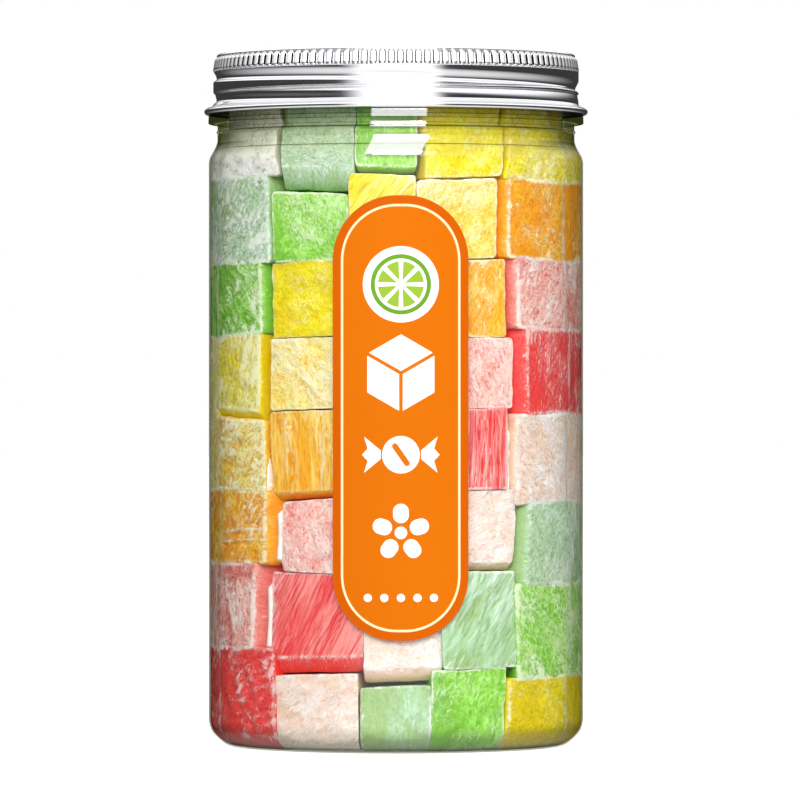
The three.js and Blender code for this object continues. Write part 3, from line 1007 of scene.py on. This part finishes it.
def block_template(half):
    """A block's points: a fine face towards +x, sides in growing steps and one point at the back.
    half is half its depth, width and height. Gives the points, the numbers of the face's points and
    those round its edge."""
    near = np.array(EDGE_LINES) * EDGE_ROUND
    lines = []
    for h in half[1:]:
        edge = -h + near
        end = h - EDGE_ROUND * 1.05
        inner = np.linspace(-end, end, FACE_LINES - 2 * len(EDGE_LINES))
        lines.append(np.concatenate([edge, inner, -edge[::-1]]))
    y, z = np.meshgrid(lines[0], lines[1], indexing="ij")
    face = np.stack([np.full(y.size, half[0]), y.ravel(), z.ravel()], -1)
    index = np.arange(FACE_LINES**2).reshape(FACE_LINES, FACE_LINES)
    loop = np.concatenate([index[:-1, 0], index[-1, :-1], index[:0:-1, -1], index[0, :0:-1]])
    rings = []
    for depth in (*SIDE_ROWS, 2 * half[0]):
        ring = face[loop].copy()
        ring[:, 0] = half[0] - depth
        rings.append(ring)
    points = np.vstack([face, *rings, [[-half[0], 0, 0]]])
    return points, index, loop


def block_faces(index, loop):
    quads = np.stack([index[:-1, :-1], index[1:, :-1], index[1:, 1:], index[:-1, 1:]], -1)
    faces = quads.reshape(-1, 4).tolist()
    previous, first = loop, index.size
    for _ in range(len(SIDE_ROWS) + 1):
        ring = np.arange(first, first + len(loop))
        faces += np.stack([previous, ring, np.roll(ring, -1), np.roll(previous, -1)], -1).tolist()
        previous, first = ring, first + len(loop)
    return faces + [(int(a), first, int(b)) for a, b in zip(previous, np.roll(previous, -1))]


def round_edges(points, half, corner):
    """Rounds a block's long edges by corner and the edges of its face by EDGE_ROUND, and gives the
    outward direction at each point."""
    core = half[1:] - corner
    inner = np.clip(points[:, 1:], -core, core)
    out = points[:, 1:] - inner
    aside = out / np.maximum(np.linalg.norm(out, axis=1, keepdims=True), 1e-9)
    reach = np.abs(out).max(axis=1)
    rise = np.maximum(points[:, 0] - half[0] + EDGE_ROUND, 0)
    spread = np.maximum(reach - corner + EDGE_ROUND, 0)
    span = np.maximum(np.hypot(rise, spread), 1e-9)
    keep = np.minimum(1, EDGE_ROUND / span)
    flat = inner + aside * (reach - spread * (1 - keep))[:, None]
    rounded = np.column_stack([points[:, 0] - rise * (1 - keep), flat])
    return rounded, np.column_stack([rise, aside * spread[:, None]]) / span[:, None]


def opening(row, block):
    """How far a block's face stands back at its left, right and bottom."""
    if block < FRONT_BLOCKS:
        return OPENINGS.get((row, block), (0, 0, 0))
    sides = [0, 0, 0]
    if RANDOM.random() < 0.45:
        sides[RANDOM.integers(3)] = RANDOM.uniform(0.8, 2.8)
    return sides


def extent(row, block, seams, levels, outer):
    """Where a block starts and stops, in degrees, and the heights under and over its two sides. A
    side column holds two blocks, and the outer one lies beyond their seam."""
    tier = TIERS - 1 - row
    start, stop = seams[row, :, block], seams[row, :, block + 1]
    low, high = levels[block, tier], levels[block, tier + 1]
    if block in SIDES:
        split = np.full(2, SIDE_SEAMS[row][SIDES.index(block)])
        start, stop = (split, stop) if (block == SIDES[0]) != outer else (start, split)
    if outer:
        low, high = low[::-1], high[::-1]
    return start, stop, low, high


def bell(distance, spread):
    return np.exp(-((distance / spread) ** 2))


class Block:
    """One candy block: where its points lie in the jar, and what its skin is like at each. u, v and
    w run from 0 to 1 along its depth, width and height, and front is 1 on its face."""

    def __init__(self, row, block, seams, levels, outer=False):
        self.row, self.block = row, block
        self.key = None if outer else (row, block)
        self.open = (0, 0, 0) if outer else opening(row, block)
        self.slack = RANDOM.uniform(-0.16, -0.02, 4)
        self.ends = extent(row, block, seams, levels, outer)
        start, stop, low, high = self.ends
        self.width = math.radians((stop - start).mean()) * HEAP_RADIUS
        self.height = (high - low).mean()
        half = np.array([HEAP_RADIUS - BLOCK_INNER, self.width, self.height]) / 2
        template, index, loop = block_template(half)
        self.faces = block_faces(index, loop)
        corner = RANDOM.uniform(0.4, 0.8 if block in SIDES else 1.1)
        self.flat, self.out = round_edges(template, half, corner)
        self.u, self.v, self.w = ((self.flat / half + 1) / 2).T
        self.behind = (1 - self.u) * 2 * half[0]
        self.front = ease((self.out[:, 0] - 0.1) / 0.7)
        self.place = self.lie()
        self.crumple()
        self.dust()

    def lie(self):
        """Where the points lie while the skin is smooth."""
        start, stop, low, high = self.ends
        left, right, bottom = self.open
        u, v, w = self.u, self.v, self.w
        gap_low, gap_high = SIDE_GAPS.get(self.key, (0, 0))
        open_part = np.clip(1 - self.behind / OPEN_DEPTH, 0, 1)
        open_low = np.clip(1 - self.behind / LOW_OPEN_DEPTH, 0, 1)
        inset = self.slack[0] + mix(gap_low, gap_high, w) + left * open_part
        begin = mix(start[0], start[1], w) + DEGREE * inset
        end = mix(stop[0], stop[1], w) - DEGREE * (self.slack[1] + right * open_part)
        raised = GAPS_BELOW.get(self.key, 0) + self.slack[2] + bottom * open_low
        under = mix(low[0], low[1], v) + raised
        over = mix(high[0], high[1], v) - self.slack[3]
        sag = HEAP_RADIUS * (1 - np.cos(np.radians(end - begin) / 2)) * FLATNESS
        lean = RANDOM.uniform(0, 0.4, 2) * (self.block not in SIDES)
        back = lean[0] * abs(RANDOM.integers(2) - v) + lean[1] * abs(RANDOM.integers(2) - w)
        radius = mix(BLOCK_INNER, HEAP_RADIUS - sag * (1 - (2 * v - 1) ** 2) - back, u)
        return polar(radius, mix(begin, end, v), mix(under, over, w))

    def set_grain(self):
        """Lays the grain that the skin follows, turned and pulled, and the skin's folds."""
        seed = RANDOM.uniform(-500, 500, 3)
        turn = RANDOM.choice(TURNS) + RANDOM.uniform(-0.2, 0.2)
        pull = RANDOM.choice(PULLS)
        turn, pull = STREAKS.get(self.key, (turn, pull))
        x, y, z = self.flat.T
        aside = y * math.cos(turn) + z * math.sin(turn)
        up = -y * math.sin(turn) + z * math.cos(turn)
        self.grain = np.stack([x, aside * 1.1, up / pull], -1) + seed
        self.coarse = folds(self.grain, FOLDS)
        self.fine = folds(self.grain + 50, FINE_FOLDS)

    def crumple(self):
        """Moves the points by the skin's folds, creases and pits, and by how the block bulges."""
        self.set_grain()
        v, w, front = self.v, self.w, self.front
        rough = COLUMN_SKINS[min(self.block, FRONT_BLOCKS)][0]
        swell = noise(self.grain / 4.5)
        folded = 0.42 * (self.coarse - 0.5) + 0.2 * (self.fine - 0.5)
        relief = front * rough * folded + 0.12 * swell
        relief += (1 - front) * 0.1 * noise(self.grain / 1.6)
        self.bead, self.pit = np.zeros(len(v)), np.zeros(len(v))
        for level in CREASES.get(self.key, ()):
            off = (w - level - 0.07 * (v - 0.5)) * self.height + 0.25 * swell
            self.bead += bell(off, 0.2)
            relief += front * (0.22 * bell(off, 0.2) - 0.3 * bell(off + 0.6, 0.35))
        for across, up, radius in PITS.get(self.key, ()):
            away = np.hypot((v - across) * self.width, (w - up) * self.height)
            self.pit += ease(1.6 - away / radius)
        relief -= 0.35 * front * np.clip(self.pit, 0, 1)
        relief += BULGE if self.block in BULGING else STAND_BACK
        middle = math.radians((self.ends[0] + self.ends[1]).mean() / 2)
        c, s = math.cos(middle), math.sin(middle)
        outwards = self.out @ np.array([(s, -c, 0), (c, s, 0), (0, 0, 1)])
        self.place = self.place + outwards * relief[:, None]

    def dust(self):
        """Sets the crust, how white the skin is, the haze, how thick it looks, and the painted
        shade in its hollows.
        """
        v, w, front, coarse, fine = self.v, self.w, self.front, self.coarse, self.fine
        _, crinkled, mottled, hollow_shade_strength, rubbed = COLUMN_SKINS[min(self.block, FRONT_BLOCKS)]
        thick = SKINS[self.row][self.block] if self.block < FRONT_BLOCKS else 0
        drift = RANDOM.uniform(-1, 1, 2) * (0.3, 0.7) + (0.7, 0)
        lean = (drift[0] * (2 * v - 1) + drift[1] * (2 * w - 1)) / 2
        patch = ease(0.45 + noise(self.grain / 4.0 + 7) + 0.5 * lean)
        ridge = ease((np.maximum(coarse, fine * 0.95) - 0.5) / 0.35)
        near = np.minimum(np.minimum(v, 1 - v) * self.width, np.minimum(w, 1 - w) * self.height)
        # Whiter sugar along the face's edges: partly a sugar rim, partly a painted highlight where
        # the rounded edge catches the light
        rim = bell(near - 0.2, 0.28) * RANDOM.uniform(0.5, 1.0)
        inside = front * (1 - rim)

        sugared = 0.16 + 0.3 * patch + 0.3 * crinkled * ridge * (0.3 + 0.7 * patch)
        crust = front * (sugared + 0.5 * rim + 0.7 * self.bead) - rubbed * inside + 0.05
        crust = (crust + (1 - front) * 0.5 * np.exp(-self.behind / 0.45)) * (1 - self.pit)
        crust = np.clip(crust + 0.5 * thick * inside, 0, 1)
        uneven = mottled * noise(self.grain / 3.0 + 3) + 0.35 * crinkled * (fine - 0.5)
        haze = 0.45 + 0.42 * lean + uneven + 0.3 * (coarse - 0.5) + 0.8 * thick
        haze = front * np.clip(haze, 0.06, 1) * (1 - 0.8 * self.pit)
        haze += (1 - front) * 0.5 * np.exp(-self.behind / 0.5)
        # the sugared underside of a block that stands well above the one below it
        worn = (1 - front) * (self.open[2] > 3) * (w < 0.5) * np.clip(1 - self.behind / 3, 0, 1)
        self.crust, self.haze = np.maximum(crust, 0.45 * worn), np.maximum(haze, 0.4 * worn)
        if self.key in STREAKS:
            hollow_shade_strength = max(hollow_shade_strength, STREAKED_HOLLOW_SHADE)
        # Painted shade in the skin's hollows, none along the face's edges
        self.hollow_shade = hollow_shade_strength * inside


def keep_inside(points):
    """Holds the blocks inside the jar's wall and above its base."""
    radius = np.hypot(points[:, 0], points[:, 1])
    limit = wall_limit(points[:, 2])
    scale = np.minimum(1, limit / np.maximum(radius, 1e-6))[:, None]
    floor = push_up(np.minimum(radius, STAND_RADIUS), WALL) + 0.15
    return np.column_stack([points[:, :2] * scale, np.maximum(points[:, 2], floor)])


def kind_at(row, block):
    order = list(KINDS)[:-1]
    return ODD_BLOCKS.get((row, block), order[(block + row) % len(order)])


def join_blocks(name, blocks, material):
    """One piece of all the blocks of a kind."""
    faces, first = [], 0
    for block in blocks:
        faces += [[i + first for i in face] for face in block.faces]
        first += len(block.place)
    points = keep_inside(np.vstack([block.place for block in blocks]))
    piece = make_object(name, points, faces, material)
    for key in ("grain", "crust", "haze", "hollow_shade"):
        set_attribute(piece, key, np.concatenate([getattr(block, key) for block in blocks]))
    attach(piece, "root")


def make_candies():
    gathered = {kind: [] for kind in KINDS}
    seams, levels = seam_plan(), level_plan()
    spots = [(row, block, False) for row in range(TIERS) for block in range(BLOCKS_ROUND)]
    spots += [(row, block, True) for row in range(TIERS) for block in SIDES]
    for row, block, outer in spots:
        gathered[kind_at(row, block)].append(Block(row, block, seams, levels, outer))
    for kind, blocks in gathered.items():
        join_blocks("candy_" + kind, blocks, candy_material("candy_" + kind, KINDS[kind]))
    make_core(seams, levels)


def make_core(seams, levels):
    """The sugar-dusted middle of the heap, behind the blocks, with dust banked up in some gaps."""
    low, high = TIER_LEVELS[0] + 3, TIER_LEVELS[-1] - 0.6
    outline = [(0, low), *[(CORE_RADIUS, z) for z in np.linspace(low, high, 60)], (0, high)]

    def lumps(radii, heights, degrees):
        tier = (heights - low) / (high - low) * TIERS
        wave = np.abs(np.sin(np.pi * tier)) ** 0.4 + np.abs(np.sin(np.radians(degrees * 4))) ** 0.4
        return radii + 0.8 * (wave - 1.6)

    piece = turned("candy_core", outline, sugar_dust(), columns=160, shape=lumps)
    for (row, block), reach in DUSTED.items():
        tier = TIERS - 1 - row
        heights = levels[block, tier:tier + 2, 0]
        make_bank(piece, seams[row, :, block], heights, SIDE_GAPS[row, block], reach)
    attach(piece, "root")
    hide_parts("candies")


# How far a bank of dust stays behind the faces, in mm, and how much further at its ends
BANK_ROWS, BANK_BACK, BANK_TAPER = 40, 0.75, 2.5


def make_bank(core, degrees, heights, widths, reach):
    """Adds to the core a bank of sugar dust that fills a gap to near the blocks' faces."""
    along = np.linspace(0, 1, BANK_ROWS)
    w = mix(*reach, along)
    ragged = 0.35 * noise(np.stack([w * 24, np.full(BANK_ROWS, degrees[0]), w * 0], -1))
    taper = ease(along / 0.1) * ease((1 - along) / 0.2)
    begin = mix(*degrees, w) - 0.1
    stop = begin + (DEGREE * mix(*widths, w) + 0.05 + ragged) * (0.3 + 0.7 * taper)
    level = mix(*heights, w)
    root = CORE_RADIUS - 1
    bulge = HEAP_RADIUS - BANK_BACK - BANK_TAPER * (1 - taper) + 0.15 * np.sin(w * 9)
    ring = (
        (root, begin), (bulge, begin), (bulge + 0.3, (begin + stop) / 2), (bulge, stop),
        (root, stop))
    points = np.stack([polar(radius, angle, level) for radius, angle in ring], 1).reshape(-1, 3)
    count = len(ring)
    ends = [list(range(count)), list(range((BANK_ROWS - 1) * count, BANK_ROWS * count))]
    shape = bmesh.new()
    shape.from_mesh(core.data)
    made = [shape.verts.new(point * MM) for point in points]
    for face in grid_faces(BANK_ROWS, count) + ends:
        shape.faces.new([made[i] for i in face]).smooth = True
    bmesh.ops.recalc_face_normals(shape, faces=shape.faces)
    shape.to_mesh(core.data)
    shape.free()


# ---- floor, light and camera
# These are in metres, and the lens is in mm
FLOOR_HALF = 6.0
LOOK_AT_HEIGHT = 0.06
CAMERA_DISTANCE = 1.17
CAMERA_HEIGHT = 0.060
CAMERA_OFFSET = 0.0007
LENS = 302.9


def make_floor():
    mesh = bpy.data.meshes.new("floor")
    corners = [(x * FLOOR_HALF, y * FLOOR_HALF, 0) for x, y in ((-1, -1), (1, -1), (1, 1), (-1, 1))]
    mesh.from_pydata(corners, [], [(0, 1, 2, 3)])
    mesh.materials.append(floor_material())
    floor = bpy.data.objects.new("floor", mesh)
    bpy.context.scene.collection.objects.link(floor)
    floor.visible_glossy = False


def area_light(name, azimuth, elevation, distance, size, power, seen=True, turn=0):
    """A softbox that looks at the jar's middle from an angle round the axis and above the floor."""
    light = bpy.data.lights.new(name, "AREA")
    light.shape = "RECTANGLE"
    light.size, light.size_y = size
    light.energy = power
    lamp = bpy.data.objects.new(name, light)
    up = math.radians(elevation)
    place = Vector(polar(distance * math.cos(up), azimuth, distance * math.sin(up)).tolist())
    roll = Quaternion((0, 0, 1), math.radians(turn))
    lamp.rotation_euler = ((-place).to_track_quat("-Z", "Y") @ roll).to_euler()
    lamp.location = place + Vector((0, 0, LOOK_AT_HEIGHT))
    lamp.visible_glossy = seen
    bpy.context.scene.collection.objects.link(lamp)


def make_lights():
    area_light("key", 5, 34, 1.7, (1.0, 1.0), 18, turn=-14)
    area_light("left_key", -22, 22, 1.7, (1.0, 1.0), 12.3, seen=False)
    area_light("side_key", 52, 20, 1.7, (0.8, 1.2), 10, seen=False)
    area_light("back", 175, 35, 1.8, (1.6, 1.0), 14, seen=False)


def make_world():
    """White to the camera and soft grey to what it lights. In reflections it is a dark room with a
    bright ceiling and a white card in front."""
    world = bpy.data.worlds.new("studio")
    bpy.context.scene.world = world
    n = Nodes(world, "OutputWorld")
    x, y, z = n.split(n.add("TexCoord").outputs["Generated"])
    ceiling = n.most(n.between(z, 0.1, 0.36, 0.045, 1.4), n.between(z, -0.95, -0.1, 1.1, 0.035))
    card = n.times(
        n.between(x, -0.62, -0.3), n.between(x, 0.34, 0.55, 1.0, 0.0),
        n.between(y, -0.3, 0.0, 1.4, 0.0), n.between(z, -0.95, -0.75))
    path = n.add("LightPath").outputs
    plain = n.between(path["Is Camera Ray"], 0.0, 1.0, 0.4, 1.0)
    strength = n.add("Mix", i0=path["Is Glossy Ray"], i2=plain, i3=n.most(ceiling, card))
    n.finish("Background", Color=(1, 1, 1, 1), Strength=strength)


def make_camera():
    camera = bpy.data.objects.new("camera", bpy.data.cameras.new("camera"))
    camera.data.lens = LENS
    camera.data.sensor_width = 36
    camera.data.clip_end = 30
    camera.location = (CAMERA_OFFSET, -CAMERA_DISTANCE, CAMERA_HEIGHT)
    camera.rotation_euler = (math.pi / 2, 0, 0)
    bpy.context.scene.collection.objects.link(camera)
    bpy.context.scene.camera = camera


make_camera()
make_lights()
make_world()
make_floor()
make_jar()
make_cap()
make_label()
make_candies()
scene = bpy.context.scene
scene.view_settings.view_transform = "Standard"
scene.cycles.use_denoising = True
scene.cycles.transparent_max_bounces = 24
